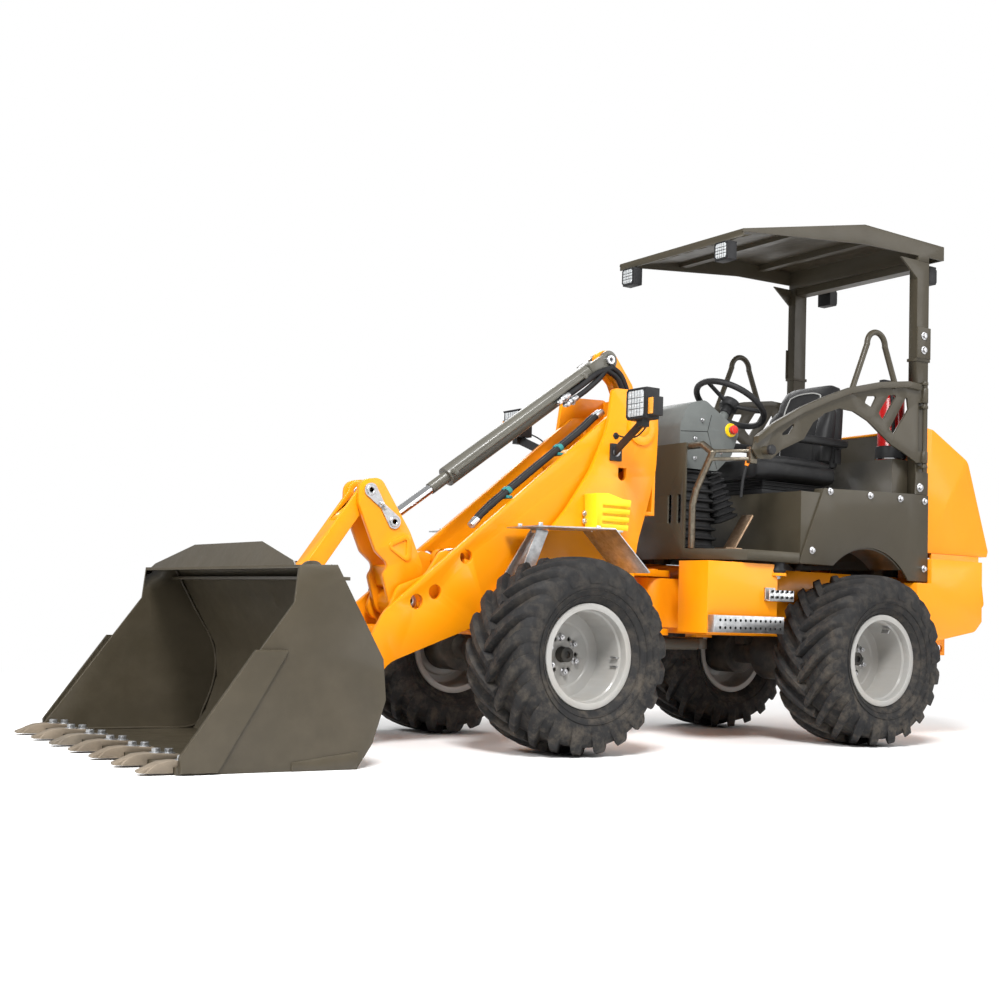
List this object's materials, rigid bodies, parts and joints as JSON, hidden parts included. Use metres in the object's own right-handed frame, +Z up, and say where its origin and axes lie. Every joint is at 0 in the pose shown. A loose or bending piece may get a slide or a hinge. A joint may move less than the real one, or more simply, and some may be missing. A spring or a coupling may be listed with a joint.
{
  "type": "compact wheel loader",
  "caption": "Compact articulated wheel loader with lug tyres, canopy, parallel lift arms and a toothed bucket that lifts, curls and dumps.",
  "frame": {"origin": "on the ground under the middle of the whole length", "axes": "+X forward, +Y left, +Z up"},
  "size_m": [4.5106, 1.5, 2.462],
  "materials": {
    "yellow_paint": "gloss",
    "chock_plastic": "matte",
    "dark_paint": "satin",
    "tooth_steel": "satin",
    "black_iron": "satin",
    "galvanised": "satin",
    "bright_steel": "satin",
    "chrome_rod": "polished",
    "tyre_rubber": "matte",
    "rim_silver": "satin",
    "hose_rubber": "matte",
    "grey_plastic": "matte",
    "black_plastic": "matte",
    "seat_vinyl": "satin",
    "red_paint": "gloss",
    "pedal_steel": "satin"
  },
  "bodies": {
    "rear": {"rear_frame": "yellow_paint", "rear_axle": "black_iron", "platform": "dark_paint", "side_panels": "dark_paint", "console": "grey_plastic", "bellows": "hose_rubber", "steering_wheel": "black_plastic", "seat": "seat_vinyl", "handrails": "dark_paint", "canopy_posts": "dark_paint", "canopy_roof": "dark_paint", "work_lamps": "black_plastic", "counterweight": "yellow_paint", "engine_block": "black_iron", "extinguisher": "red_paint", "steps": "galvanised", "pedals": "pedal_steel", "tow_hitch": "yellow_paint"},
    "front": {"front_frame": "yellow_paint", "front_axle": "black_iron", "headlamps": "black_plastic", "fender_brackets": "galvanised", "wheel_chock": "chock_plastic", "tilt_pin": "bright_steel"},
    "boom": {"boom": "yellow_paint", "boom_hoses": "hose_rubber"},
    "bucket_pin": {"bucket_pin": "bright_steel"},
    "bucket": {"bucket": "dark_paint", "bucket_teeth": "tooth_steel", "coupler": "dark_paint"},
    "lever_pin": {"lever_pin": "bright_steel"},
    "lever": {"lever": "yellow_paint"},
    "link_pin": {"link_pin": "bright_steel"},
    "link": {"link": "yellow_paint"},
    "tilt_barrel": {"tilt_barrel": "dark_paint"},
    "tilt_rod": {"tilt_rod": "chrome_rod"},
    "lift_barrel": {"lift_barrel": "dark_paint"},
    "lift_rod": {"lift_rod": "chrome_rod"},
    "steer_barrel": {"steer_barrel": "dark_paint"},
    "steer_rod": {"steer_rod": "chrome_rod"},
    "wheel_fl": {"tyre_fl": "tyre_rubber", "rim_fl": "rim_silver"},
    "wheel_fr": {"tyre_fr": "tyre_rubber", "rim_fr": "rim_silver"},
    "wheel_rl": {"tyre_rl": "tyre_rubber", "rim_rl": "rim_silver"},
    "wheel_rr": {"tyre_rr": "tyre_rubber", "rim_rr": "rim_silver"},
    "guard_left": {"guard_left": "dark_paint"},
    "guard_right": {"guard_right": "dark_paint"},
    "hood": {"hood": "yellow_paint"}
  },
  "joints": [
    {"name": "steer", "type": "hinge", "parent": "rear", "child": "front", "pos_m": [-0.39, 0, 0.62], "axis": [0, 0, 1], "range_deg": [-40, 40]},
    {"name": "boom_lift", "type": "hinge", "parent": "front", "child": "boom", "pos_m": [-0.145, 0, 1.382], "axis": [0, -1, 0], "range_deg": [0, 85]},
    {"name": "bucket_level", "type": "hinge", "parent": "boom", "child": "bucket_pin", "pos_m": [1.189, 0, 0.24], "axis": [0, -1, 0], "range_deg": [-85, 0]},
    {"name": "bucket_tilt", "type": "hinge", "parent": "bucket_pin", "child": "bucket", "pos_m": [1.189, 0, 0.24], "axis": [0, -1, 0], "range_deg": [-45, 40]},
    {"name": "lever_level", "type": "hinge", "parent": "boom", "child": "lever_pin", "pos_m": [0.95, 0, 0.58], "axis": [0, -1, 0], "range_deg": [-85, 0]},
    {"name": "lever_tilt", "type": "hinge", "parent": "lever_pin", "child": "lever", "pos_m": [0.95, 0, 0.58], "axis": [0, 1, 0], "range_deg": [-40, 45]},
    {"name": "link_level", "type": "hinge", "parent": "lever", "child": "link_pin", "pos_m": [1.131, 0, 1.018], "axis": [0, 1, 0], "range_deg": [-45, 40]},
    {"name": "link_lift", "type": "hinge", "parent": "link_pin", "child": "link", "pos_m": [1.131, 0, 1.018], "axis": [0, -1, 0], "range_deg": [0, 85]},
    {"name": "tilt_base_lift", "type": "hinge", "parent": "front", "child": "tilt_barrel", "pos_m": [-0.075, 0, 1.7], "axis": [0, -1, 0], "range_deg": [0, 86.24]},
    {"name": "tilt_stroke", "type": "slide", "parent": "tilt_barrel", "child": "tilt_rod", "axis": [0.8068, 0, -0.5909], "range_m": [-0.186, 0.209]},
    {"name": "lift_base", "type": "hinge", "parent": "front", "child": "lift_barrel", "pos_m": [-0.115, 0, 1.215], "axis": [0, -1, 0], "range_deg": [0, 84.81]},
    {"name": "lift_stroke", "type": "slide", "parent": "lift_barrel", "child": "lift_rod", "axis": [0.8762, 0, -0.4819], "range_m": [0, 0.2309]},
    {"name": "steer_base", "type": "hinge", "parent": "rear", "child": "steer_barrel", "pos_m": [-0.805, -0.12, 0.43], "axis": [0, 0, 1], "range_deg": [-13.55, 13.55]},
    {"name": "steer_stroke", "type": "slide", "parent": "steer_barrel", "child": "steer_rod", "axis": [0.9973, -0.0736, 0], "range_m": [-0.104, 0.104]},
    {"name": "wheel_fl", "type": "hinge", "parent": "front", "child": "wheel_fl", "pos_m": [0.445, 0.495, 0.39], "axis": [0, 1, 0], "continuous": true},
    {"name": "wheel_fr", "type": "hinge", "parent": "front", "child": "wheel_fr", "pos_m": [0.445, -0.495, 0.39], "axis": [0, 1, 0], "continuous": true},
    {"name": "wheel_rl", "type": "hinge", "parent": "rear", "child": "wheel_rl", "pos_m": [-1.225, 0.495, 0.39], "axis": [0, 1, 0], "continuous": true},
    {"name": "wheel_rr", "type": "hinge", "parent": "rear", "child": "wheel_rr", "pos_m": [-1.225, -0.495, 0.39], "axis": [0, 1, 0], "continuous": true},
    {"name": "guard_left_swing", "type": "hinge", "parent": "rear", "child": "guard_left", "pos_m": [-1.705, 0.466, 1.5], "axis": [0, 0, 1], "range_deg": [0, 95]},
    {"name": "guard_right_swing", "type": "hinge", "parent": "rear", "child": "guard_right", "pos_m": [-1.705, -0.466, 1.5], "axis": [0, 0, -1], "range_deg": [0, 95]},
    {"name": "hood_open", "type": "hinge", "parent": "rear", "child": "hood", "pos_m": [-1.777, 0, 1.52], "axis": [0, 1, 0], "range_deg": [0, 55]}
  ],
  "couplings": [
    {"joint": "bucket_level", "follows": "boom_lift", "ratio": -1},
    {"joint": "lever_level", "follows": "boom_lift", "ratio": -1},
    {"joint": "lever_tilt", "follows": "bucket_tilt", "ratio": -1},
    {"joint": "link_level", "follows": "bucket_tilt", "ratio": 1},
    {"joint": "link_lift", "follows": "boom_lift", "ratio": 1},
    {"joint": "tilt_base_lift", "follows": "boom_lift", "ratio": 1.0145},
    {"joint": "tilt_stroke", "follows": "bucket_tilt", "m_per_rad": -0.26356},
    {"joint": "lift_base", "follows": "boom_lift", "ratio": 0.99189},
    {"joint": "lift_stroke", "follows": "boom_lift", "m_per_rad": 0.1543},
    {"joint": "steer_base", "follows": "steer", "ratio": 0.32622},
    {"joint": "steer_stroke", "follows": "steer", "m_per_rad": 0.14613}
  ]
}
